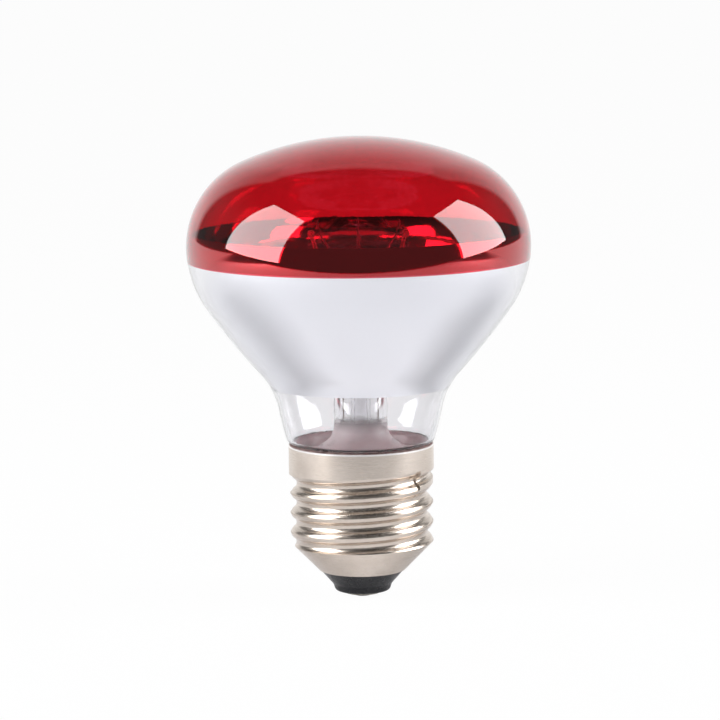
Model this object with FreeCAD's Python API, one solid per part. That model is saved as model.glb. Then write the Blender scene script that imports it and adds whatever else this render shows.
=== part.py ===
import FreeCAD, Part
import math
import os

from FreeCAD import Vector

# An infrared heat lamp bulb. A blown glass reflector is mirrored inside, lacquered red over its
# front and left clear at the neck, which is cemented into a rolled screw cap. Through the glass
# show the stem, its leads, the supports and the filament.
# Lengths are in millimetres and angles in degrees. The lamp's axis is Z, the tip of the centre
# contact is at z = 0, and the red front is at the top.

# Blown glass, whose outline is a chain of tangent arcs from the cap up. The bulb's greatest
# radius, 31.3, and the height of that, 64.7, follow from the chain.
glass_wall = 0.7
crown_radius = 53.3
shoulder_radius = 16.8
belly_radius = 19.6
flank_radius = 135.0
cove_radius = 13.5
neck_radius = 55.8
tuck_radius = 2.1
return_radius = 1.3
flank_angle = 35.3
flank_sweep = 6.47
cove_angle = 11.0
neck_angle = 16.7
tuck_angle = 58.0
tail_angle = 10.0
tail_gap = 0.8
tail_sink = 0.7
seal_depth = 4.3

# Films on the glass
mirror_thickness = 0.08
mirror_over_rim = 10.9
mirror_over_equator = 2.7
lacquer_thickness = 0.08
lacquer_under_equator = 2.4

# Screw cap shell, rolled from sheet with seven threads to the inch
rim_height = 28.3
skirt_radius = 13.3
skirt_length = 5.7
skirt_step = 0.3
sheet = 0.3
crest_setback = 0.18
thread_pitch = 25.4 / 7
thread_depth = 0.99
thread_turns = 4.3
crest_overshoot = 0.01
crest_gap = 0.07
thread_under_skirt = 0.03
thread_top_angle = -36.0
lip_height = 4.95
lip_radius = 7.95
cone_angle = 44.3

# Thread run-out above the last full turn: a smaller groove, set higher, that fades out
runout_width = 2.5
runout_depth = 0.95
runout_rise = -0.1
runout_sweep = 200.0
runout_overlap = 4.0
runout_fade = 1.3

# Insulator and centre contact
insulator_bottom = 1.0
insulator_setback = 0.15
insulator_neck_radius = 5.4
insulator_neck_height = 2.3
insulator_foot_radius = 5.0
insulator_foot_rounding = 0.8
insulator_rim_height = 8.8
insulator_rim_width = 1.2
insulator_boss_radius = 3.6
insulator_boss_height = 5.5
contact_hole_radius = 1.3
contact_radius = 3.4
contact_thickness = 0.45
eyelet_wall = 0.4
eyelet_length = 2.6
solder_radius = 2.3
solder_flat_radius = 1.0

# Basing cement and the side joint, which is on the far side of the lamp
cement_depth = 3.7
cement_bead = 0.75
bead_slope = 0.45
side_angle = 135.0
side_solder_radius = 0.9
side_lead_rise = 0.1
side_lead_gap = 0.03

# Glass mount: flare, pinch, exhaust tube and arbor
tube_radius = 4.9
tube_wall = 1.1
tube_length = 8.5
flare_height = 6.0
flare_bend = 3.5
flare_wall = 0.9
flare_seat = 1.2
pinch_shoulder = 3.5
pinch_length = 4.0
pinch_half_width = 5.3
pinch_half_thickness = 1.5
bore_end_drop = 1.0
bore_half_width = 3.9
bore_half_thickness = 0.5
exhaust_radius = 1.9
exhaust_wall = 0.8
exhaust_clearance = 4.2
exhaust_nib_radius = 0.5
exhaust_taper = 3.0
exhaust_seat = 0.4
blow_hole_radius = 0.7
blow_hole_rise = 0.6
arbor_radius = 1.1
button_radius = 1.9
arbor_length = 11.6

# Leads, each of three wires welded end to end
lead_spacing = 6.4
inner_lead_radius = 0.35
inner_lead_straight = 4.0
inner_lead_bend = 6.0
seal_wire_radius = 0.2
seal_wire_length = 3.5
outer_lead_radius = 0.12
outer_lead_bend = 0.8
side_lead_straight = 5.0
side_lead_drop = 1.0
side_lead_reach = 9.0
centre_lead_past_tip = 1.5
centre_lead_entry = 1.5

# Filament, bent to a half ring, with a crimp at each end and three supports along it
filament_over_equator = 2.3
filament_ring_radius = 8.6
filament_radius = 0.4
filament_tail = 1.1
crimp_wall = 0.3
crimp_length = 1.5
support_radius = 0.13
support_angles = (30.0, 90.0, 150.0)
support_root = 0.9
support_tail = 1.6
slip = 0.02

AXIS = Vector(0, 0, 1)
ORIGIN = Vector(0, 0, 0)
# Longer than the lamp in any direction, for tools that cut right through
CLEAR = 4 * crown_radius


def half_plane(r, z):
    """The point at radius r and height z in the half plane where every section is drawn."""
    return Vector(r, 0, z)


def polar(r, angle, z):
    """The point at radius r and height z, at an angle about the axis from +X."""
    turn = math.radians(angle)
    return Vector(r * math.cos(turn), r * math.sin(turn), z)


def normal(angle):
    """Unit vector in the half plane, at an angle above the horizontal."""
    return half_plane(math.cos(math.radians(angle)), math.sin(math.radians(angle)))


def line(start, end):
    return Part.LineSegment(start, end).toShape()


def arc(centre, radius, first, last):
    """An arc in the half plane between two angles. A minus radius bulges the other way."""
    angles = (first, (first + last) / 2, last)
    return Part.Arc(*[centre + normal(angle) * radius for angle in angles]).toShape()


def rounded_path(points, radii, closed):
    """Straight edges through the points, with each corner rounded by an arc of its radius."""
    count = len(points)
    bends = []
    for index, (corner, radius) in enumerate(zip(points, radii)):
        if radius == 0 or (not closed and index in (0, count - 1)):
            bends.append((corner, None, corner))
            continue
        back = (points[index - 1] - corner).normalize()
        ahead = (points[(index + 1) % count] - corner).normalize()
        half = back.getAngle(ahead) / 2
        reach = radius / math.tan(half)
        middle = corner + (back + ahead).normalize() * (radius / math.sin(half) - radius)
        bends.append((corner + back * reach, middle, corner + ahead * reach))
    edges = []
    for index, (entry, middle, leave) in enumerate(bends):
        if middle:
            edges.append(Part.Arc(entry, middle, leave).toShape())
        if closed or index < count - 1:
            edges.append(line(leave, bends[(index + 1) % count][0]))
    return edges


def turned(edges):
    """The solid that a closed outline in the half plane sweeps out round the axis."""
    return Part.Face(Part.Wire(edges)).revolve(ORIGIN, AXIS, 360)


def turned_corners(corners):
    """A turned solid from its section's corners, each (r, z) or (r, z, rounding)."""
    points = [half_plane(corner[0], corner[1]) for corner in corners]
    radii = [corner[2] if len(corner) == 3 else 0 for corner in corners]
    return turned(rounded_path(points, radii, closed=True))


def bar(start, end, radius):
    """A straight round bar between two points."""
    return Part.makeCylinder(radius, (end - start).Length, start, end - start)


def round_wire(path, radius):
    """A wire of round section along a path of tangent edges."""
    first = path[0]
    start = first.valueAt(first.FirstParameter)
    heading = first.tangentAt(first.FirstParameter)
    ring = Part.Wire(Part.makeCircle(radius, start, heading))
    return Part.Wire(path).makePipeShell([ring], True, False)


def bent_wire(points, bend, radius):
    """A wire of round section through the points, with every corner bent to one radius."""
    return round_wire(rounded_path(points, [bend] * len(points), closed=False), radius)


def slab(bottom, top):
    """Everything between two heights."""
    return Part.makeCylinder(CLEAR, top - bottom, half_plane(0, bottom))


# Sizes shared by pieces that fit together
crest_radius = skirt_radius - crest_setback
shell_bore = skirt_radius - sheet
tail_radius = shell_bore - tail_gap
tail_top = rim_height - tail_sink
seal_height = rim_height - seal_depth
skirt_bottom = rim_height - skirt_length
thread_top = skirt_bottom - thread_under_skirt
half_spacing = lead_spacing / 2


def glass_arcs():
    """The glass outline from the crown down to the cap, as (centre, radius, first, last angle).

    The angles are those of the outward normal, and a minus radius is hollow seen from outside.
    Each centre is found from the one below it, and the crown's then falls on the axis.
    """
    cove_end = flank_angle + flank_sweep
    back = half_plane(tail_radius, tail_top) + normal(-tail_angle) * return_radius
    tuck = back - normal(-tuck_angle) * (return_radius + tuck_radius)
    neck = tuck - normal(-neck_angle) * (neck_radius - tuck_radius)
    cove = neck + normal(-cove_angle) * (neck_radius + cove_radius)
    flank = cove - normal(-cove_end) * (cove_radius + flank_radius)
    belly = flank + normal(-flank_angle) * (flank_radius - belly_radius)
    shoulder = belly + normal(0) * (belly_radius - shoulder_radius)
    crown_end = math.degrees(math.acos(shoulder.x / (crown_radius - shoulder_radius)))
    crown = shoulder - normal(crown_end) * (crown_radius - shoulder_radius)

    return [
        (crown, crown_radius, 90, crown_end),
        (shoulder, shoulder_radius, crown_end, 0),
        (belly, belly_radius, 0, -flank_angle),
        (flank, flank_radius, -flank_angle, -cove_end),
        (cove, -cove_radius, -cove_end, -cove_angle),
        (neck, neck_radius, -cove_angle, -neck_angle),
        (tuck, tuck_radius, -neck_angle, -tuck_angle),
        (back, -return_radius, -tuck_angle, -tail_angle),
    ]


# Heights that follow from the glass, from the cap's contact up
equator_height = glass_arcs()[1][0].z
mirror_bottom = rim_height + mirror_over_rim
mirror_top = equator_height + mirror_over_equator
lacquer_bottom = equator_height - lacquer_under_equator
filament_height = equator_height + filament_over_equator
exhaust_tip = insulator_rim_height + exhaust_clearance
flare_start = seal_height + flare_height
pinch_start = flare_start + tube_length
pinch_height = pinch_start + pinch_shoulder
pinch_top = pinch_height + pinch_length
bore_top = pinch_height - bore_end_drop
button_height = pinch_top + arbor_length


def glass_face(depth):
    """Outline edges of a face that lies at a depth in the glass, from the crown to the seal."""
    edges = [arc(centre, radius - depth, first, last) for centre, radius, first, last in glass_arcs()]
    tail_start = edges[-1].valueAt(edges[-1].LastParameter)
    drop = tail_start.z - seal_height
    taper = drop * math.tan(math.radians(tail_angle))
    edges.append(line(tail_start, tail_start - half_plane(taper, drop)))
    return edges


def ends(edges):
    """The first and last point of a run of edges."""
    return edges[0].valueAt(edges[0].FirstParameter), edges[-1].valueAt(edges[-1].LastParameter)


def glass_layer(outer_depth, inner_depth):
    """The wall between two depths in the glass, from the crown to the seal."""
    outer, inner = glass_face(outer_depth), glass_face(inner_depth)
    outer_top, outer_foot = ends(outer)
    inner_top, inner_foot = ends(inner)
    return turned(outer + [line(outer_foot, inner_foot)] + inner[::-1] + [line(inner_top, outer_top)])


def glass_plug(depth):
    """All that lies inside one face of the glass, down to the seal."""
    face = glass_face(depth)
    top, foot = ends(face)
    centre = half_plane(0, foot.z)
    return turned(face + [line(foot, centre), line(centre, top)])


def groove_section(width, depth, inset):
    """Section of a rolled groove: a hollow arc between two rounded crests, opening outwards.

    All arcs have the one radius that makes them meet smoothly half way up. The crests pass just
    outside the shell, which leaves a narrow land on it. The inset moves the whole section in by
    the thickness of the sheet, for the inside of the shell.
    """
    rise = depth + crest_overshoot
    crest_z = width / 2
    arc_radius = (crest_z ** 2 + rise ** 2) / (4 * rise)
    root = half_plane(crest_radius - depth + arc_radius, 0)
    crest = root.x + rise - 2 * arc_radius
    swing = math.degrees(math.atan2(crest_z, root.x - crest))
    crest_end = math.degrees(math.asin(crest_gap / arc_radius))
    edges = [
        arc(half_plane(crest, -crest_z), arc_radius - inset, crest_end, swing),
        arc(root, arc_radius + inset, 180 + swing, 180 - swing),
        arc(half_plane(crest, crest_z), arc_radius - inset, -swing, -crest_end),
    ]
    foot, top = ends(edges)
    outside = skirt_radius + sheet
    corners = [top, half_plane(outside, top.z), half_plane(outside, foot.z), foot]
    edges += [line(*pair) for pair in zip(corners, corners[1:])]
    return Part.Wire(edges)


def threaded_groove(inset):
    """The groove of the full thread, which ends in a step at its top and runs off the cone."""
    lag = math.degrees(inset / crest_radius)
    turn = 360 * thread_turns + lag
    height = thread_pitch * turn / 360
    helix = Part.makeLongHelix(thread_pitch, height, crest_radius)
    section = groove_section(thread_pitch, thread_depth, inset)
    groove = Part.Wire(helix).makePipeShell([section], True, True)
    groove.rotate(ORIGIN, AXIS, thread_top_angle + lag - turn)
    groove.translate(half_plane(0, thread_top + thread_pitch * lag / 360 - height))
    return groove


def runout_groove(inset):
    """The smaller groove above the thread's step, which widens its helix until it fades out."""
    turn = runout_sweep + runout_overlap
    height = thread_pitch * turn / 360
    spread = math.degrees(math.atan2(runout_fade * runout_depth, height))
    helix = Part.makeLongHelix(thread_pitch, height, crest_radius, spread)
    section = groove_section(runout_width, runout_depth, inset)
    groove = Part.Wire(helix).makePipeShell([section], True, True)
    groove.rotate(ORIGIN, AXIS, thread_top_angle - runout_overlap)
    groove.translate(half_plane(0, thread_top + runout_rise - thread_pitch * runout_overlap / 360))
    return groove


def cone_point(height, inset):
    """Where the shell's cone, moved in by an inset, passes a height."""
    slope = math.radians(cone_angle)
    radius = lip_radius + (height - lip_height) * math.tan(slope) - inset / math.cos(slope)
    return radius, height


def cone_meets(radius, inset):
    """Where the shell's cone, moved in by an inset, passes a radius."""
    slope = math.radians(cone_angle)
    return radius, lip_height + (radius - lip_radius + inset / math.cos(slope)) / math.tan(slope)


def shell_form(inset, top, bottom):
    """The plain form of the cap, filled, before its thread is rolled."""
    return turned_corners([
        (0, bottom),
        cone_point(bottom, inset),
        cone_meets(crest_radius - inset, inset),
        (crest_radius - inset, skirt_bottom - skirt_step),
        (skirt_radius - inset, skirt_bottom),
        (skirt_radius - inset, top),
        (0, top),
    ])


def cap_shell():
    """The rolled shell: the grooves are cut from its outside and its hollow alike."""
    outside = shell_form(0, rim_height, lip_height)
    hollow = shell_form(sheet, rim_height + sheet, lip_height - sheet)
    for groove in (threaded_groove, runout_groove):
        outside = outside.cut(groove(0))
        hollow = hollow.cut(groove(sheet))
    return outside.cut(hollow)


def cap_insulator():
    """The pressed glass cone in the shell's end, dished inside, with a hole for the contact."""
    rim_radius, rim_z = cone_point(insulator_rim_height, sheet)
    return turned_corners([
        (contact_hole_radius, insulator_bottom),
        (insulator_foot_radius, insulator_bottom, insulator_foot_rounding),
        (insulator_neck_radius, insulator_neck_height, insulator_foot_rounding),
        cone_point(lip_height, insulator_setback),
        cone_point(lip_height, sheet),
        (rim_radius, rim_z),
        (rim_radius - insulator_rim_width, rim_z),
        (insulator_boss_radius, insulator_boss_height, insulator_foot_rounding),
        (contact_hole_radius, insulator_boss_height),
    ])


def contact_eyelet():
    """The centre contact: a disc on the insulator's end with a short barrel up its hole."""
    bottom = insulator_bottom - contact_thickness
    bore = contact_hole_radius - eyelet_wall
    return turned_corners([
        (bore, bottom),
        (contact_radius, bottom, contact_thickness / 2),
        (contact_radius, insulator_bottom),
        (contact_hole_radius, insulator_bottom),
        (contact_hole_radius, insulator_bottom + eyelet_length),
        (bore, insulator_bottom + eyelet_length),
    ])


def centre_solder(lead):
    """The solder that fills the eyelet round the lead and stands below it as a low dome."""
    bottom = insulator_bottom - contact_thickness
    bore = contact_hole_radius - eyelet_wall
    filled_to = insulator_bottom + eyelet_length / 2
    dome_side = half_plane((solder_radius + solder_flat_radius) / 2, bottom / 4)
    edges = [
        line(half_plane(0, 0), half_plane(solder_flat_radius, 0)),
        Part.Arc(half_plane(solder_flat_radius, 0), dome_side, half_plane(solder_radius, bottom)).toShape(),
        line(half_plane(solder_radius, bottom), half_plane(bore, bottom)),
        line(half_plane(bore, bottom), half_plane(bore, filled_to)),
        line(half_plane(bore, filled_to), half_plane(0, filled_to)),
        line(half_plane(0, filled_to), half_plane(0, 0)),
    ]
    return turned(edges).cut(lead)


def bead_corners(radius):
    """Section corners of a bead over the rim, from its outer foot up and inwards."""
    return [
        (radius, rim_height),
        (radius - bead_slope, rim_height + cement_bead, cement_bead / 2),
        (tail_radius / 2, rim_height + cement_bead),
    ]


def side_solder(shell, lead):
    """The solder on the rim that joins the shell to its lead, just proud of the cement's bead."""
    ball = Part.makeSphere(side_solder_radius, polar(shell_bore, side_angle, rim_height))
    joint = ball.common(turned_corners(bead_corners(skirt_radius - slip) + [(tail_radius / 2, rim_height)]))
    for neighbour in (glass_plug(0), shell, lead):
        joint = joint.cut(neighbour)
    return max(joint.Solids, key=lambda solid: solid.Volume)


def basing_cement(solder, lead):
    """The cement between the neck and the skirt, squeezed out as a bead over the rim."""
    in_skirt = [
        (tail_radius / 2, rim_height - cement_depth),
        (shell_bore, rim_height - cement_depth),
        (shell_bore, rim_height),
    ]
    cement = turned_corners(in_skirt + bead_corners(skirt_radius - sheet / 2))
    for neighbour in (glass_plug(0), solder, lead):
        cement = cement.cut(neighbour)
    return cement


def stadium(half_width, half_thickness, height):
    """A flat-sided section with round ends, in four edges, across the axis."""
    flat = half_width - half_thickness
    right = [
        Vector(flat, -half_thickness, height),
        Vector(half_width, 0, height),
        Vector(flat, half_thickness, height),
    ]
    left = [Vector(-point.x, -point.y, height) for point in right]
    return Part.Wire([
        Part.Arc(*right).toShape(),
        line(right[2], left[0]),
        Part.Arc(*left).toShape(),
        line(left[2], right[0]),
    ])


def ring_in_four(radius, half_thickness, half_width, height):
    """A circle across the axis, split where a stadium of that shape has its corners."""
    corner = math.degrees(math.atan2(half_thickness, half_width - half_thickness))
    stops = (-corner, corner, 180 - corner, 180 + corner, 360 - corner)
    edges = []
    for first, last in zip(stops, stops[1:]):
        points = [polar(radius, angle, height) for angle in (first, (first + last) / 2, last)]
        edges.append(Part.Arc(*points).toShape())
    return Part.Wire(edges)


def stem_flare(exhaust_form, wires):
    """The flare and its pinch: a tube spread to the neck below and pressed flat above."""
    seat = glass_face(glass_wall)[-1]
    foot = seat.valueAt(seat.LastParameter)
    taper = math.tan(math.radians(tail_angle))
    rim = (foot.x + flare_seat * taper, foot.z + flare_seat)
    bore = tube_radius - tube_wall
    flare = turned_corners([
        (tube_radius, pinch_start),
        (tube_radius, flare_start, flare_bend),
        rim,
        (foot.x, foot.z),
        (foot.x - flare_wall, foot.z),
        (bore, flare_start, flare_bend),
        (bore, pinch_start),
    ])
    pressed = [stadium(pinch_half_width, pinch_half_thickness, z) for z in (pinch_height, pinch_top)]
    tube_end = ring_in_four(tube_radius, pinch_half_thickness, pinch_half_width, pinch_start)
    bore_end = ring_in_four(bore, bore_half_thickness, bore_half_width, pinch_start)
    bore_slot = stadium(bore_half_width, bore_half_thickness, bore_top)
    shoulder = Part.makeLoft([tube_end, pressed[0]], True)
    press = Part.makeLoft(pressed, True, True)
    hollow = Part.makeLoft([bore_end, bore_slot], True)
    stem = flare.fuse([shoulder.cut(hollow), press])
    hole_turn = half_plane(0, pinch_height + blow_hole_rise)
    stem = stem.cut(exhaust_form)
    stem = stem.cut(bar(half_plane(0, bore_top), hole_turn, blow_hole_radius))
    stem = stem.cut(bar(hole_turn, hole_turn + Vector(0, tube_radius, 0), blow_hole_radius))
    for wire in wires:
        stem = stem.cut(wire)
    return stem.removeSplitter()


def exhaust_corners(radius, tip, top):
    """Section corners of the exhaust tube's outside or its bore, closed at the tip."""
    return [
        (0, tip),
        (exhaust_nib_radius, tip),
        (radius, tip + exhaust_taper, exhaust_radius),
        (radius, top),
        (0, top),
    ]


def exhaust_outside():
    return turned_corners(exhaust_corners(exhaust_radius, exhaust_tip, bore_top + exhaust_seat))


def exhaust_tube():
    """The tube that the lamp was pumped through, drawn off to a sealed tip in the cap."""
    top = bore_top + exhaust_seat
    bore_radius = exhaust_radius - exhaust_wall
    bore = turned_corners([
        (0, exhaust_tip + exhaust_taper),
        (bore_radius, exhaust_tip + exhaust_taper, bore_radius / 2),
        (bore_radius, top),
        (0, top),
    ])
    return exhaust_outside().cut(bore)


def arbor():
    """The glass rod on the pinch, with the button that holds the supports."""
    meets = button_height - math.sqrt(button_radius ** 2 - arbor_radius ** 2)
    top = half_plane(0, button_height + button_radius)
    foot, heel = half_plane(0, pinch_top), half_plane(arbor_radius, pinch_top)
    neck = half_plane(arbor_radius, meets)
    side = half_plane(button_radius, button_height)
    rod = turned([line(foot, heel), line(heel, neck), Part.Arc(neck, side, top).toShape(), line(top, foot)])
    for angle in support_angles:
        rod = rod.cut(support_stalk(angle))
    return rod


def hook_centre(angle):
    return polar(filament_ring_radius, angle, filament_height)


def support_stalk(angle):
    """The straight part of a support, from inside the button to its loop."""
    root = polar(support_root, angle, button_height)
    heading = (hook_centre(angle) - root).normalize()
    return bar(root, hook_centre(angle) - heading * (filament_radius + support_radius), support_radius)


def support(angle):
    """A support: a stalk, the loop that the filament runs through, and the wire's cut end."""
    loop_radius = filament_radius + slip + support_radius
    along_filament = polar(1, angle + 90, 0)
    loop = Part.makeTorus(loop_radius, support_radius, hook_centre(angle), along_filament)
    loop_top = hook_centre(angle) + AXIS * loop_radius
    end = bar(loop_top, loop_top + AXIS * support_tail, support_radius)
    return support_stalk(angle).fuse([loop, end]).removeSplitter()


def filament():
    """The coiled filament, drawn as the rod that its coil fills, with a straight tail each end."""
    right, left = hook_centre(0), hook_centre(180)
    tail = Vector(0, -filament_tail, 0)
    bend = Part.Arc(right, hook_centre(90), left).toShape()
    return round_wire([line(right + tail, right), bend, line(left, left + tail)], filament_radius)


def inner_lead(side, coil):
    """The stout lead from the pinch to the crimp that grips a filament tail."""
    root_height = bore_top + seal_wire_length
    grip = Vector(side * filament_ring_radius, -filament_tail / 2, filament_height)
    points = [
        Vector(side * half_spacing, 0, root_height),
        Vector(side * half_spacing, 0, pinch_top + inner_lead_straight),
        grip,
    ]
    wire = bent_wire(points, inner_lead_bend, inner_lead_radius)
    half_crimp = Vector(0, crimp_length / 2, 0)
    crimp = bar(grip - half_crimp, grip + half_crimp, filament_radius + crimp_wall)
    return wire.fuse(crimp).cut(coil).removeSplitter()


def seal_wire(side):
    """The short wire that is sealed in the pinch, between the inner and the outer lead."""
    start = Vector(side * half_spacing, 0, bore_top)
    return bar(start, start + AXIS * seal_wire_length, seal_wire_radius)


def centre_lead():
    """The outer lead that runs down past the exhaust tip to the centre contact."""
    points = [
        Vector(half_spacing, 0, bore_top),
        Vector(half_spacing, 0, exhaust_tip - centre_lead_past_tip),
        Vector(0, 0, insulator_boss_height + centre_lead_entry),
        Vector(0, 0, insulator_bottom - contact_thickness / 2),
    ]
    return bent_wire(points, outer_lead_bend, outer_lead_radius)


def side_lead():
    """The outer lead that turns under the glass and up between neck and skirt to the rim."""
    low = seal_height - side_lead_drop
    beside_glass = tail_radius + outer_lead_radius
    beside_shell = shell_bore - outer_lead_radius - side_lead_gap
    points = [
        Vector(-half_spacing, 0, bore_top),
        Vector(-half_spacing, 0, flare_start - side_lead_straight),
        polar(side_lead_reach, side_angle, low),
        polar(beside_glass, side_angle, low),
        polar(beside_shell, side_angle, rim_height + side_lead_rise),
    ]
    return bent_wire(points, outer_lead_bend, outer_lead_radius)


def lamp():
    """Every piece of the lamp, by name."""
    envelope = glass_layer(0, glass_wall)
    mirror = glass_layer(glass_wall, glass_wall + mirror_thickness).common(slab(mirror_bottom, mirror_top))
    lacquer = glass_layer(-lacquer_thickness, 0).common(slab(lacquer_bottom, CLEAR))

    coil = filament()
    inner_left, inner_right = inner_lead(-1, coil), inner_lead(1, coil)
    seal_left, seal_right = seal_wire(-1), seal_wire(1)
    to_side, to_centre = side_lead(), centre_lead()
    stem = stem_flare(exhaust_outside(), [inner_left, inner_right, seal_left, seal_right])

    shell = cap_shell()
    solder = side_solder(shell, to_side)
    pieces = {
        "glass_envelope": envelope,
        "mirror_film": mirror,
        "red_lacquer": lacquer,
        "stem_flare": stem,
        "exhaust_tube": exhaust_tube(),
        "arbor": arbor(),
        "inner_lead_left": inner_left,
        "inner_lead_right": inner_right,
        "seal_wire_left": seal_left,
        "seal_wire_right": seal_right,
        "side_lead": to_side,
        "centre_lead": to_centre,
        "filament": coil,
        "cap_shell": shell,
        "cap_insulator": cap_insulator(),
        "contact_eyelet": contact_eyelet(),
        "centre_solder": centre_solder(to_centre),
        "side_solder": solder,
        "basing_cement": basing_cement(solder, to_side),
    }
    for number, angle in enumerate(support_angles, start=1):
        pieces["support_wire_%d" % number] = support(angle)
    return pieces


os.makedirs("parts", exist_ok=True)
for name, shape in lamp().items():
    print(name, "solids", len(shape.Solids), "valid", shape.isValid(), "volume %.2f" % shape.Volume)
    shape.exportStep("parts/%s.step" % name)
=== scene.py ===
import math

import bmesh
import bpy
from mathutils import Matrix, Vector


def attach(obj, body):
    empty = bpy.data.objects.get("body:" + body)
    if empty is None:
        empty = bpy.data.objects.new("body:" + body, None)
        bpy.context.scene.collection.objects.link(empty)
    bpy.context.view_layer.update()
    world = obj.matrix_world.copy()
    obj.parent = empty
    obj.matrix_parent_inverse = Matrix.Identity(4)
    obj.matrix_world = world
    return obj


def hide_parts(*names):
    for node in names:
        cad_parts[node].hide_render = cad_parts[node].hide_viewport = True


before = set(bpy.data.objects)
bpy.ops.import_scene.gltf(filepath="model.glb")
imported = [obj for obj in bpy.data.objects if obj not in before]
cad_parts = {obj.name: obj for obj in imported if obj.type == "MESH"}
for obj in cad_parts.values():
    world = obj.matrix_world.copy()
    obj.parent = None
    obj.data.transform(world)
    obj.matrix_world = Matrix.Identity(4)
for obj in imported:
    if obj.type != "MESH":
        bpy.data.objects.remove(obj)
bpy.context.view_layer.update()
MM = 0.001

# ---- Camera, lamps and table ----------------------------------------------------------------
# A white table that ends a little in front of the lamp, a white backdrop that fades upwards, two
# upright soft boxes at the sides and a dim room on the camera's side. The lens is a long one.
camera_data = bpy.data.cameras.new("camera")
camera_data.lens = 171.95
camera_data.sensor_width = 36.0
camera = bpy.data.objects.new("camera", camera_data)
bpy.context.scene.collection.objects.link(camera)
camera_place = (0.0, -0.622, 0.1311)
camera_tilt = math.radians(82.0)
camera_roll = math.radians(-0.7)
camera.matrix_world = (
    Matrix.Translation(camera_place)
    @ Matrix.Rotation(camera_tilt, 4, "X")
    @ Matrix.Rotation(camera_roll, 4, "Z")
)
bpy.context.scene.camera = camera
bpy.context.scene.view_settings.view_transform = "Standard"
box_distance, box_level, box_radiance = 0.6, 0.07, 6.0


def heading(azimuth, elevation):
    """Unit vector, with the azimuth from the camera's side round towards +X."""
    a, e = math.radians(azimuth), math.radians(elevation)
    return Vector((math.sin(a) * math.cos(e), -math.cos(a) * math.cos(e), math.sin(e)))


def soft_box(name, place, facing, spin, width, height):
    """An upright soft box that is as bright all over, turned towards the lamp."""
    light = bpy.data.lights.new(name, "AREA")
    light.shape = "RECTANGLE"
    light.size, light.size_y = width, height
    light.energy = box_radiance * math.pi * width * height
    back = heading(*facing)
    side = Vector((0, 0, 1)).cross(back).normalized()
    lift = back.cross(side)
    turned = Matrix((side, lift, back)).transposed().to_4x4()
    lamp = bpy.data.objects.new(name, light)
    lamp.matrix_world = (
        Matrix.Translation(heading(*place) * box_distance + Vector((0, 0, box_level)))
        @ turned @ Matrix.Rotation(math.radians(spin), 4, "Z")
    )
    lamp.visible_camera = False
    bpy.context.scene.collection.objects.link(lamp)


soft_box("soft_box_left", place=(-68.6, 27.9), facing=(-75.7, 0.2), spin=-10.6, width=0.431, height=0.610)
soft_box("soft_box_right", place=(87.1, 26.7), facing=(83.7, -5.7), spin=10.5, width=0.404, height=0.570)

world = bpy.data.worlds.new("studio")
bpy.context.scene.world = world
world.use_nodes = True
nodes, links = world.node_tree.nodes, world.node_tree.links
nodes.clear()
look = nodes.new("ShaderNodeTexCoord")
parts_of_look = nodes.new("ShaderNodeSeparateXYZ")
links.new(look.outputs["Generated"], parts_of_look.inputs[0])


def maths(operation, *values):
    """A Math node in the tree that is being built, fed with sockets or numbers."""
    node = nodes.new("ShaderNodeMath")
    node.operation = operation
    for socket, value in zip(node.inputs, values):
        if isinstance(value, (int, float)):
            socket.default_value = value
        else:
            links.new(value, socket)
    return node.outputs[0]


def ramp(value, low, high):
    """0 at low and beyond it, 1 at high and beyond it, and a straight run between them."""
    node = nodes.new("ShaderNodeMapRange")
    node.inputs["From Min"].default_value = low
    node.inputs["From Max"].default_value = high
    links.new(value, node.inputs["Value"])
    return node.outputs["Result"]


# The pairs are degrees round from behind the lamp or up, from where a ramp is 0 to where it is 1
backdrop_side_ends, backdrop_top_ends = (44, 38), (52, 48)
backdrop_fades, backdrop_glow, backdrop_loss = (8, 42), 0.85, 0.55
room_fades, high_room_glow, low_room_glow = (45, 25), 0.04, 0.12
away = maths("ARCTAN2", maths("ABSOLUTE", parts_of_look.outputs["X"]), parts_of_look.outputs["Y"])
rise = maths("ARCSINE", parts_of_look.outputs["Z"])
beside = ramp(away, *map(math.radians, backdrop_side_ends))
above = ramp(rise, *map(math.radians, backdrop_top_ends))
fading = ramp(rise, *map(math.radians, backdrop_fades))
backdrop = maths("MULTIPLY_ADD", fading, -backdrop_loss, backdrop_glow)
shown = maths("MULTIPLY", maths("MULTIPLY", beside, above), backdrop)
low_room = ramp(rise, *map(math.radians, room_fades))
dim_room = maths("MULTIPLY_ADD", low_room, low_room_glow - high_room_glow, high_room_glow)
seen = maths("ADD", shown, dim_room)
rays = nodes.new("ShaderNodeLightPath")
strength = maths("MAXIMUM", seen, rays.outputs["Is Camera Ray"])
glow = nodes.new("ShaderNodeBackground")
glow.inputs["Color"].default_value = (1, 1, 1, 1)
links.new(strength, glow.inputs["Strength"])
sky_out = nodes.new("ShaderNodeOutputWorld")
links.new(glow.outputs[0], sky_out.inputs["Surface"])

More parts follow.
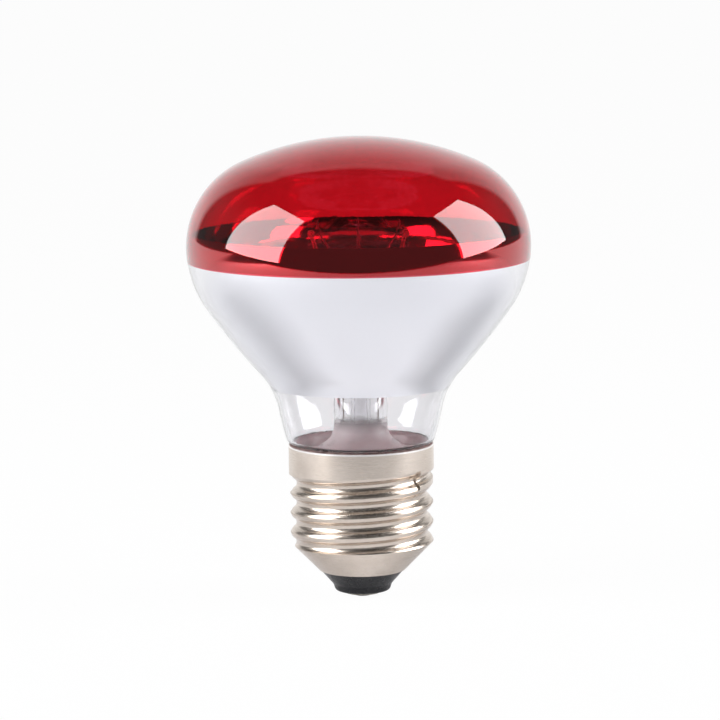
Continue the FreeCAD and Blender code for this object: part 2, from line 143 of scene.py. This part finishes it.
table_side, table_front, table_back = 4.0, -0.25, 8.0
table_mesh = bpy.data.meshes.new("table")
bm = bmesh.new()
bmesh.ops.create_grid(bm, x_segments=1, y_segments=1, size=1.0)
bmesh.ops.scale(bm, vec=(table_side, (table_back - table_front) / 2, 1.0), verts=bm.verts)
bmesh.ops.translate(bm, vec=(0, (table_back + table_front) / 2, 0), verts=bm.verts)
bm.to_mesh(table_mesh)
bm.free()
table = bpy.data.objects.new("table", table_mesh)
bpy.context.scene.collection.objects.link(table)
table_top = bpy.data.materials.new("table_top")
table_top.use_nodes = True
nodes, links = table_top.node_tree.nodes, table_top.node_tree.links
nodes.clear()
paper = nodes.new("ShaderNodeBsdfDiffuse")
paper.inputs["Color"].default_value = (0.92, 0.925, 0.955, 1)
lit = nodes.new("ShaderNodeEmission")
lit.inputs["Color"].default_value = (1, 1, 1, 1)
lit.inputs["Strength"].default_value = 1.0
rays = nodes.new("ShaderNodeLightPath")
place = nodes.new("ShaderNodeTexCoord")
run = nodes.new("ShaderNodeSeparateXYZ")
links.new(place.outputs["Object"], run.inputs[0])
lit_from, lit_fully_from, lit_share = 0.03, 0.16, 0.97
mirrored = maths("MAXIMUM", rays.outputs["Is Glossy Ray"], rays.outputs["Is Transmission Ray"])
behind = maths("MULTIPLY", ramp(run.outputs["Y"], lit_from, lit_fully_from), mirrored)
straight = maths("MULTIPLY", rays.outputs["Is Camera Ray"], lit_share)
blend = nodes.new("ShaderNodeMixShader")
links.new(maths("MAXIMUM", straight, behind), blend.inputs[0])
links.new(paper.outputs[0], blend.inputs[1])
links.new(lit.outputs[0], blend.inputs[2])
table_out = nodes.new("ShaderNodeOutputMaterial")
links.new(blend.outputs[0], table_out.inputs["Surface"])
table_mesh.materials.append(table_top)

# ---- Glass envelope -------------------------------------------------------------------------
# The real piece is one blown bulb of clear soda glass, 0.7 mm thick, whose foot is cemented in
# the cap. It is spun from the arcs that the solid has, and is cloudy inside where the stem is sealed.
glass_wall, arc_step, turn_steps = 0.7, 0.9, 256
foot_radius, foot_top, foot_bottom, foot_slope = 12.2, 27.6, 24.0, -10.0
# Each arc's radius, less than 0 where the glass is hollow, and the slope of its normal at its end
outline = [
    (-1.3, -58.0),
    (2.1, -16.7),
    (55.8, -11.0),
    (-13.5, -41.77),
    (135.0, -35.3),
    (19.6, 0.0),
    (16.8, None),
    (53.3, 90.0),
]
lacquer_edge, mirror_edge_low, mirror_edge_high, seal_top = 62.3, 39.2, 67.4, 28.9
clouding_ends, clouding_full = 33.4, 30.8
coat_gap, coat_thickness = 0.01, 0.08
bulb_middle, weld_distance = 60, 1e-7


def outward(angle):
    """Outward normal of the glass, at an angle above the horizontal."""
    return Vector((math.cos(math.radians(angle)), 0, math.sin(math.radians(angle))))


def draw_glass_face(bm, depth):
    """Edges along the glass from its foot to its crown, at a depth in it, arc by arc."""
    angle = foot_slope
    point = Vector((foot_radius, 0, foot_top)) - outward(angle) * depth
    vert = bm.verts.new(point * MM)
    drop = foot_top - foot_bottom - outward(angle).z * depth
    foot = bmesh.ops.extrude_vert_indiv(bm, verts=[vert])["verts"][0]
    lean = math.tan(math.radians(-angle)) * drop
    bmesh.ops.translate(bm, vec=Vector((-lean, 0, -drop)) * MM, verts=[foot])
    for radius, end in outline:
        centre = point - outward(angle) * (radius - depth)
        if end is None:
            end = math.degrees(math.acos(centre.x / (outline[-1][0] - radius)))
        swing = math.radians(end - angle)
        steps = max(5, round(abs(radius * swing) / arc_step))
        spun = bmesh.ops.spin(
            bm, geom=[vert], cent=centre * MM, axis=(0, -1, 0), dvec=(0, 0, 0),
            angle=swing, steps=steps, use_merge=False, use_duplicate=False,
        )
        vert = spun["geom_last"][0]
        angle = end
        point = centre + outward(angle) * (radius - depth)
    vert.co.x = 0
    return foot


def spin_round(bm):
    """Spins all of a section round the lamp's axis and closes its seam and poles."""
    bmesh.ops.spin(
        bm, geom=bm.verts[:] + bm.edges[:], cent=(0, 0, 0), axis=(0, 0, 1), dvec=(0, 0, 0),
        angle=math.tau, steps=turn_steps, use_merge=True, use_duplicate=False,
    )
    bmesh.ops.remove_doubles(bm, verts=bm.verts, dist=weld_distance)


def cut_at(bm, height, drop_above=False, drop_below=False):
    """Cuts a section at a height, and may drop what is above or below."""
    bmesh.ops.bisect_plane(
        bm, geom=bm.verts[:] + bm.edges[:] + bm.faces[:], dist=1e-8,
        plane_co=(0, 0, height * MM), plane_no=(0, 0, 1),
        clear_outer=drop_above, clear_inner=drop_below,
    )


def close_edge(bm, height):
    """Joins the two open ends that a wall's section has at a height."""
    bm.edges.new([vert for vert in bm.verts if abs(vert.co.z - height * MM) < weld_distance])


def on_outside(face):
    """Whether a face of the bulb looks out rather than in."""
    return face.normal.dot(face.calc_center_median() - Vector((0, 0, bulb_middle * MM))) > 0


def new_piece(name, bm, finishes, slot, *replaced):
    """A smooth-shaded piece that rides on the lamp and stands for its solids."""
    mesh = bpy.data.meshes.new(name)
    for face in bm.faces:
        face.smooth = True
    bm.to_mesh(mesh)
    bm.free()
    mesh.set_sharp_from_angle(angle=math.radians(40))
    piece = bpy.data.objects.new(name, mesh)
    bpy.context.scene.collection.objects.link(piece)
    for finish in finishes:
        mesh.materials.append(finish)
    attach(piece, "root")
    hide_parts(*replaced)


def new_finish(name, values):
    """A node material whose shader's own sockets take the given values."""
    finish = bpy.data.materials.new(name)
    finish.use_nodes = True
    shader = finish.node_tree.nodes["Principled BSDF"]
    for socket, value in values.items():
        shader.inputs[socket].default_value = value
    return finish, finish.node_tree.nodes, finish.node_tree.links, shader


def new_group(name, *numbers):
    """A node group from a place and some numbers to a value, with its two end nodes."""
    group = bpy.data.node_groups.new(name, "ShaderNodeTree")
    group.interface.new_socket("Place", in_out="INPUT", socket_type="NodeSocketVector")
    for socket in numbers:
        group.interface.new_socket(socket, in_out="INPUT", socket_type="NodeSocketFloat")
    group.interface.new_socket("Value", in_out="OUTPUT", socket_type="NodeSocketFloat")
    return group, group.nodes.new("NodeGroupInput"), group.nodes.new("NodeGroupOutput")


def add_group(nodes, links, group, **numbers):
    """A group's value in a material, over the piece's own place."""
    place = nodes.new("ShaderNodeTexCoord")
    node = nodes.new("ShaderNodeGroup")
    node.node_tree = group
    links.new(place.outputs["Object"], node.inputs["Place"])
    for socket, value in numbers.items():
        node.inputs[socket].default_value = value
    return node.outputs["Value"]


def mottle_group():
    """Cloudy variation between two values, for the film of dust and handling on every surface."""
    group, inside, outside = new_group("mottle", "Scale", "Low", "High")
    noise = group.nodes.new("ShaderNodeTexNoise")
    noise.inputs["Detail"].default_value = 4.0
    noise.inputs["Roughness"].default_value = 0.6
    spread = group.nodes.new("ShaderNodeMapRange")
    spread.inputs["From Min"].default_value = 0.35
    spread.inputs["From Max"].default_value = 0.7
    group.links.new(inside.outputs["Place"], noise.inputs["Vector"])
    group.links.new(inside.outputs["Scale"], noise.inputs["Scale"])
    group.links.new(noise.outputs["Fac"], spread.inputs["Value"])
    group.links.new(inside.outputs["Low"], spread.inputs["To Min"])
    group.links.new(inside.outputs["High"], spread.inputs["To Max"])
    group.links.new(spread.outputs["Result"], outside.inputs["Value"])
    return group


def level_group():
    """0 at one height on the lamp and beyond it, 1 at the other, and a straight run between."""
    group, inside, outside = new_group("level", "Low", "High")
    split = group.nodes.new("ShaderNodeSeparateXYZ")
    group.links.new(inside.outputs["Place"], split.inputs[0])
    spread = group.nodes.new("ShaderNodeMapRange")
    group.links.new(inside.outputs["Low"], spread.inputs["From Min"])
    group.links.new(inside.outputs["High"], spread.inputs["From Max"])
    group.links.new(split.outputs["Z"], spread.inputs["Value"])
    group.links.new(spread.outputs["Result"], outside.inputs["Value"])
    return group


mottle, level = mottle_group(), level_group()


def add_mottle(nodes, links, scale, low, high):
    """The mottle group's value in a material."""
    return add_group(nodes, links, mottle, Scale=scale, Low=low, High=high)


def add_level(nodes, links, low, high):
    """The level group's value in a material, between two heights in millimetres."""
    return add_group(nodes, links, level, Low=low * MM, High=high * MM)


def add_colours(nodes, links, value, dark, light):
    """A colour that runs from dark to light with a value."""
    mix = nodes.new("ShaderNodeMix")
    mix.data_type = "RGBA"
    mix.inputs[6].default_value = (*dark, 1)
    mix.inputs[7].default_value = (*light, 1)
    links.new(value, mix.inputs[0])
    return mix.outputs[2]


def vary_colour(nodes, links, shader, scale, dark, light):
    """Lets a shader's Base Color drift between two colours."""
    tone = add_mottle(nodes, links, scale, 0.0, 1.0)
    links.new(add_colours(nodes, links, tone, dark, light), shader.inputs["Base Color"])


def vary_roughness(nodes, links, shader, scale, low, high):
    """Lets a shader's Roughness drift between two values."""
    links.new(add_mottle(nodes, links, scale, low, high), shader.inputs["Roughness"])


def add_bump(nodes, links, height, distance, shader):
    """A Bump node on a shader, whose height is a value from 0 to 1."""
    bump = nodes.new("ShaderNodeBump")
    bump.inputs["Distance"].default_value = distance
    links.new(height, bump.inputs["Height"])
    links.new(bump.outputs["Normal"], shader.inputs["Normal"])


clear_glass, nodes, links, shader = new_finish("clear_glass", {
    "Base Color": (0.92, 0.915, 0.93, 1), "Transmission Weight": 1.0, "IOR": 1.5, "Roughness": 0.0,
})
vary_roughness(nodes, links, shader, 90.0, 0.0, 0.035)
add_bump(nodes, links, add_mottle(nodes, links, 160.0, 0.0, 1.0), 0.00001, shader)

# Where a coat lies on the glass, only the coat's own face is seen
covered_glass, nodes, links, shader = new_finish("covered_glass", {
    "Base Color": (0.97, 0.975, 0.975, 1), "Alpha": 0.0, "Roughness": 0.1,
})

clouded_glass, nodes, links, shader = new_finish("clouded_glass", {
    "Base Color": (0.88, 0.81, 0.81, 1), "Roughness": 0.3, "IOR": 1.5,
})
vary_colour(nodes, links, shader, 150.0, (0.82, 0.745, 0.745), (0.94, 0.875, 0.875))
vary_roughness(nodes, links, shader, 260.0, 0.22, 0.4)
links.new(add_level(nodes, links, clouding_ends, clouding_full), shader.inputs["Alpha"])

bm = bmesh.new()
outer_foot = draw_glass_face(bm, 0.0)
inner_foot = draw_glass_face(bm, glass_wall)
bm.edges.new((outer_foot, inner_foot))
for height in (seal_top, lacquer_edge, mirror_edge_low, mirror_edge_high):
    cut_at(bm, height)
spin_round(bm)
bmesh.ops.recalc_face_normals(bm, faces=bm.faces)
for face in bm.faces:
    height = face.calc_center_median().z / MM
    if on_outside(face):
        face.material_index = 1 if height > lacquer_edge else 0
    elif height < seal_top:
        face.material_index = 2
    else:
        face.material_index = 1 if mirror_edge_low < height < mirror_edge_high else 0
new_piece("blown_bulb", bm, [clear_glass, covered_glass, clouded_glass], "clear_glass", "glass_envelope")

# ---- Mirror film ----------------------------------------------------------------------------
# The real piece is aluminium, vapour-coated on the inside of the glass from the neck up to
# behind the lacquer. It is drawn as a thin wall just inside the glass.
mirror, nodes, links, shader = new_finish("mirror", {
    "Base Color": (0.95, 0.955, 0.975, 1), "Metallic": 1.0, "Roughness": 0.05,
})
vary_roughness(nodes, links, shader, 45.0, 0.035, 0.085)
vary_colour(nodes, links, shader, 30.0, (0.935, 0.94, 0.965), (0.965, 0.97, 0.985))

bm = bmesh.new()
draw_glass_face(bm, glass_wall + coat_gap)
draw_glass_face(bm, glass_wall + coat_thickness)
cut_at(bm, mirror_edge_low, drop_below=True)
cut_at(bm, mirror_edge_high, drop_above=True)
close_edge(bm, mirror_edge_low)
close_edge(bm, mirror_edge_high)
spin_round(bm)
bmesh.ops.recalc_face_normals(bm, faces=bm.faces)
new_piece("aluminium_film", bm, [mirror], "mirror", "mirror_film")

# ---- Red lacquer ----------------------------------------------------------------------------
# The real piece is a translucent red lacquer that the front was dipped in, so it is glossy
# and ends in a level line round the bulb. Its inner side lies against the glass.
red_lacquer, nodes, links, shader = new_finish("red_lacquer", {
    "Base Color": (0.555, 0.0028, 0.009, 1), "Transmission Weight": 1.0, "IOR": 1.5, "Roughness": 0.0,
    "Coat Weight": 0.4, "Coat Roughness": 0.02, "Coat IOR": 1.6,
})
vary_colour(nodes, links, shader, 60.0, (0.52, 0.0023, 0.0078), (0.59, 0.0033, 0.0102))
vary_roughness(nodes, links, shader, 80.0, 0.0, 0.02)

# Its side against the glass isn't seen, so that light passes from coat to glass unbent
lacquer_back, nodes, links, shader = new_finish("lacquer_back", {
    "Base Color": (0.60, 0.0036, 0.008, 1), "Alpha": 0.0, "Roughness": 0.1,
})

bm = bmesh.new()
draw_glass_face(bm, -coat_thickness)
draw_glass_face(bm, -coat_gap)
cut_at(bm, lacquer_edge, drop_below=True)
close_edge(bm, lacquer_edge)
spin_round(bm)
bmesh.ops.recalc_face_normals(bm, faces=bm.faces)
for face in bm.faces:
    lower_edge = face.calc_center_median().z < (lacquer_edge + coat_gap) * MM
    face.material_index = 0 if on_outside(face) or lower_edge else 1
new_piece("dipped_lacquer", bm, [red_lacquer, lacquer_back], "red_lacquer", "red_lacquer")

# ---- Stem: flare, exhaust tube and arbor ----------------------------------------------------
# The real pieces are lead glass, fire polished: a tube spread to the neck and pinched flat
# on the leads, the tube that the lamp was pumped through, and the rod with its button. The sealed
# end is cloudy, and clears up the tube.


def dress(finish, *names):
    """Gives solids of the lamp a finish."""
    for name in names:
        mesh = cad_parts[name].data
        if not mesh.materials:
            mesh.materials.append(finish)
        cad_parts[name].material_slots[0].material = finish


stem_glass, nodes, links, shader = new_finish("stem_glass", {
    "Base Color": (0.965, 0.96, 0.97, 1), "Transmission Weight": 1.0, "IOR": 1.56, "Roughness": 0.0,
})
vary_roughness(nodes, links, shader, 220.0, 0.0, 0.05)
dress(stem_glass, "exhaust_tube", "arbor")

bm = bmesh.new()
bm.from_mesh(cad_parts["stem_flare"].data)
bmesh.ops.remove_doubles(bm, verts=bm.verts, dist=weld_distance)
cut_at(bm, clouding_ends)
for face in bm.faces:
    face.material_index = 1 if face.calc_center_median().z < clouding_ends * MM else 0
new_piece("flared_stem", bm, [stem_glass, clouded_glass], "stem_glass", "stem_flare")

# ---- Leads ----------------------------------------------------------------------------------
# Each real lead is three wires welded end to end: stout drawn nickel inside the bulb, a short
# copper-clad wire sealed in the pinch, and a fine copper-clad wire down to the cap.


def wire_finish(name, dark, light, roughness):
    """Drawn wire, mottled by handling and heat."""
    finish, nodes, links, shader = new_finish(name, {"Metallic": 1.0, "Roughness": roughness})
    vary_colour(nodes, links, shader, 900.0, dark, light)
    vary_roughness(nodes, links, shader, 1500.0, roughness - 0.08, roughness + 0.1)
    return finish


nickel_wire = wire_finish("nickel_wire", (0.42, 0.41, 0.40), (0.58, 0.57, 0.55), 0.3)
copper_wire = wire_finish("copper_wire", (0.20, 0.14, 0.12), (0.42, 0.30, 0.25), 0.4)
dress(nickel_wire, "inner_lead_left", "inner_lead_right")
dress(copper_wire, "seal_wire_left", "seal_wire_right", "side_lead", "centre_lead")

# ---- Filament and its supports --------------------------------------------------------------
# The real filament is tungsten wire in a close coil, bent to a half ring. It hangs in the
# crimps of the leads and in the loops of three molybdenum wires from the arbor's button.
coil_radius, coil_wire, coil_pitch, turn_sides, wire_sides = 0.33, 0.07, 0.26, 12, 6
ring_radius, ring_height, tail_length = 8.6, 67.0, 1.1
tungsten = wire_finish("tungsten", (0.10, 0.10, 0.11), (0.26, 0.26, 0.27), 0.4)
support_metal = wire_finish("support_wire", (0.30, 0.30, 0.31), (0.50, 0.50, 0.51), 0.35)
dress(support_metal, "support_wire_1", "support_wire_2", "support_wire_3")

coil_length = math.pi * ring_radius + 2 * tail_length
turns = round(coil_length / coil_pitch)
bm = bmesh.new()
bmesh.ops.create_circle(bm, cap_ends=False, radius=coil_wire * MM, segments=wire_sides)
bmesh.ops.rotate(bm, cent=(0, 0, 0), matrix=Matrix.Rotation(math.pi / 2, 3, "X"), verts=bm.verts)
bmesh.ops.translate(bm, vec=(0, 0, coil_radius * MM), verts=bm.verts)
bmesh.ops.spin(
    bm, geom=bm.verts[:] + bm.edges[:], cent=(0, 0, 0), axis=(1, 0, 0),
    dvec=(coil_length * MM / (turns * turn_sides), 0, 0), angle=math.tau * turns, steps=turns * turn_sides,
    use_merge=False, use_duplicate=False,
)
ends = [edge for edge in bm.edges if edge.is_boundary]
bmesh.ops.holes_fill(bm, edges=ends, sides=wire_sides)
for vert in bm.verts:
    along = vert.co.x / MM - tail_length
    off, lift = vert.co.y / MM, vert.co.z / MM
    swing = min(max(along / ring_radius, 0), math.pi)
    beyond = along - swing * ring_radius
    reach = ring_radius + off
    spot = Vector((math.cos(swing) * reach, math.sin(swing) * reach, ring_height + lift))
    spot += Vector((-math.sin(swing), math.cos(swing), 0)) * beyond
    vert.co = spot * MM
bmesh.ops.recalc_face_normals(bm, faces=bm.faces)
new_piece("filament_coil", bm, [tungsten], "tungsten", "filament")

# ---- Screw cap shell ------------------------------------------------------------------------
# The real piece is brass sheet, drawn and rolled to a thread and plated with satin nickel.
# Rolling leaves fine marks round it, and a pale line at the rim is a painted highlight of the sheet's
# edge.


def rolling_marks_group():
    """Fine lines round the lamp's axis, as a value from 0 to 1."""
    group, inside, outside = new_group("rolling_marks", "Fineness")
    split = group.nodes.new("ShaderNodeSeparateXYZ")
    group.links.new(inside.outputs["Place"], split.inputs[0])
    turn = group.nodes.new("ShaderNodeMath")
    turn.operation = "ARCTAN2"
    group.links.new(split.outputs["Y"], turn.inputs[0])
    group.links.new(split.outputs["X"], turn.inputs[1])
    rise = group.nodes.new("ShaderNodeMath")
    rise.operation = "MULTIPLY"
    group.links.new(split.outputs["Z"], rise.inputs[0])
    group.links.new(inside.outputs["Fineness"], rise.inputs[1])
    join = group.nodes.new("ShaderNodeCombineXYZ")
    group.links.new(turn.outputs[0], join.inputs["X"])
    group.links.new(rise.outputs[0], join.inputs["Y"])
    noise = group.nodes.new("ShaderNodeTexNoise")
    noise.inputs["Scale"].default_value = 3.0
    noise.inputs["Detail"].default_value = 5.0
    noise.inputs["Roughness"].default_value = 0.7
    group.links.new(join.outputs[0], noise.inputs["Vector"])
    group.links.new(noise.outputs["Fac"], outside.inputs["Value"])
    return group


def add_rim_highlight(nodes, links, colour, low, high):
    """The colour with a pale line at the rim, painted as the highlight on the sheet's edge."""
    mix = nodes.new("ShaderNodeMix")
    mix.data_type = "RGBA"
    links.new(colour, mix.inputs[6])
    mix.inputs[7].default_value = (0.98, 0.95, 0.93, 1)
    links.new(add_level(nodes, links, low, high), mix.inputs[0])
    return mix.outputs[2]


cap_metal, nodes, links, shader = new_finish("cap_metal", {
    "Base Color": (0.71, 0.625, 0.55, 1), "Metallic": 1.0, "Roughness": 0.26,
})
highlight_from, highlight_fully_from = 27.92, 28.1
marks = add_group(nodes, links, rolling_marks_group(), Fineness=3000.0)
spread = nodes.new("ShaderNodeMapRange")
spread.inputs["From Min"].default_value = 0.3
spread.inputs["From Max"].default_value = 0.7
spread.inputs["To Min"].default_value = 0.22
spread.inputs["To Max"].default_value = 0.30
links.new(marks, spread.inputs["Value"])
links.new(spread.outputs["Result"], shader.inputs["Roughness"])
tone = add_mottle(nodes, links, 260.0, 0.0, 1.0)
plate = add_colours(nodes, links, tone, (0.67, 0.585, 0.51), (0.74, 0.655, 0.58))
# A pale line painted at the rim stands in for the highlight on the sheet's edge
edged = add_rim_highlight(nodes, links, plate, highlight_from, highlight_fully_from)
links.new(edged, shader.inputs["Base Color"])
add_bump(nodes, links, marks, 0.000004, shader)
dress(cap_metal, "cap_shell")

# ---- Insulator ------------------------------------------------------------------------------
# The real piece is black glass, pressed into the shell's end as a cone with a rounded foot.
# It has the soft gloss and the faint ripples of pressed glass.
black_glass, nodes, links, shader = new_finish("black_glass", {
    "Base Color": (0.012, 0.012, 0.014, 1), "Roughness": 0.26, "IOR": 1.5, "Specular IOR Level": 0.3,
})
vary_roughness(nodes, links, shader, 400.0, 0.2, 0.36)
vary_colour(nodes, links, shader, 300.0, (0.010, 0.010, 0.012), (0.022, 0.022, 0.024))
add_bump(nodes, links, add_mottle(nodes, links, 500.0, 0.0, 1.0), 0.00003, shader)
dress(black_glass, "cap_insulator")

# ---- Contact and solder ---------------------------------------------------------------------
# The real contact is a nickel-plated brass eyelet in the insulator's hole, filled with soft
# solder round the lead. A second drop of solder joins the other lead to the cap's rim.
contact_metal, nodes, links, shader = new_finish("contact_metal", {
    "Base Color": (0.62, 0.58, 0.50, 1), "Metallic": 1.0, "Roughness": 0.35,
})
vary_roughness(nodes, links, shader, 700.0, 0.28, 0.5)
vary_colour(nodes, links, shader, 500.0, (0.50, 0.45, 0.37), (0.66, 0.62, 0.55))
dress(contact_metal, "contact_eyelet")

solder, nodes, links, shader = new_finish("solder", {
    "Base Color": (0.55, 0.55, 0.56, 1), "Metallic": 1.0, "Roughness": 0.35,
})
vary_roughness(nodes, links, shader, 900.0, 0.25, 0.55)
vary_colour(nodes, links, shader, 600.0, (0.40, 0.40, 0.41), (0.62, 0.62, 0.63))
add_bump(nodes, links, add_mottle(nodes, links, 800.0, 0.0, 1.0), 0.0001, shader)
dress(solder, "centre_solder", "side_solder")

# ---- Basing cement --------------------------------------------------------------------------
# The real piece is a ring of brown cement, cured by heat between the glass and the skirt. What was
# squeezed out over the rim is painted darker, as the shade in the crevice there, in a grainy line, and it
# is paler below.
cement, nodes, links, shader = new_finish("cement", {
    "Base Color": (0.15, 0.095, 0.085, 1), "Roughness": 0.85,
})
pale_up_to, shade_from = 28.2, 28.4
grain = add_mottle(nodes, links, 700.0, 0.0, 1.0)
# Above the rim the cement is painted darker, as the shade in the crevice, with a random grain
shaded_bead = add_colours(nodes, links, grain, (0.07, 0.035, 0.032), (0.30, 0.19, 0.175))
cloud = add_mottle(nodes, links, 150.0, 0.0, 1.0)
pale = add_colours(nodes, links, cloud, (0.62, 0.52, 0.52), (0.84, 0.75, 0.75))
mix = nodes.new("ShaderNodeMix")
mix.data_type = "RGBA"
links.new(pale, mix.inputs[6])
links.new(shaded_bead, mix.inputs[7])
links.new(add_level(nodes, links, pale_up_to, shade_from), mix.inputs[0])
links.new(mix.outputs[2], shader.inputs["Base Color"])
vary_roughness(nodes, links, shader, 500.0, 0.75, 0.95)
add_bump(nodes, links, add_mottle(nodes, links, 1200.0, 0.0, 1.0), 0.0002, shader)
dress(cement, "basing_cement")
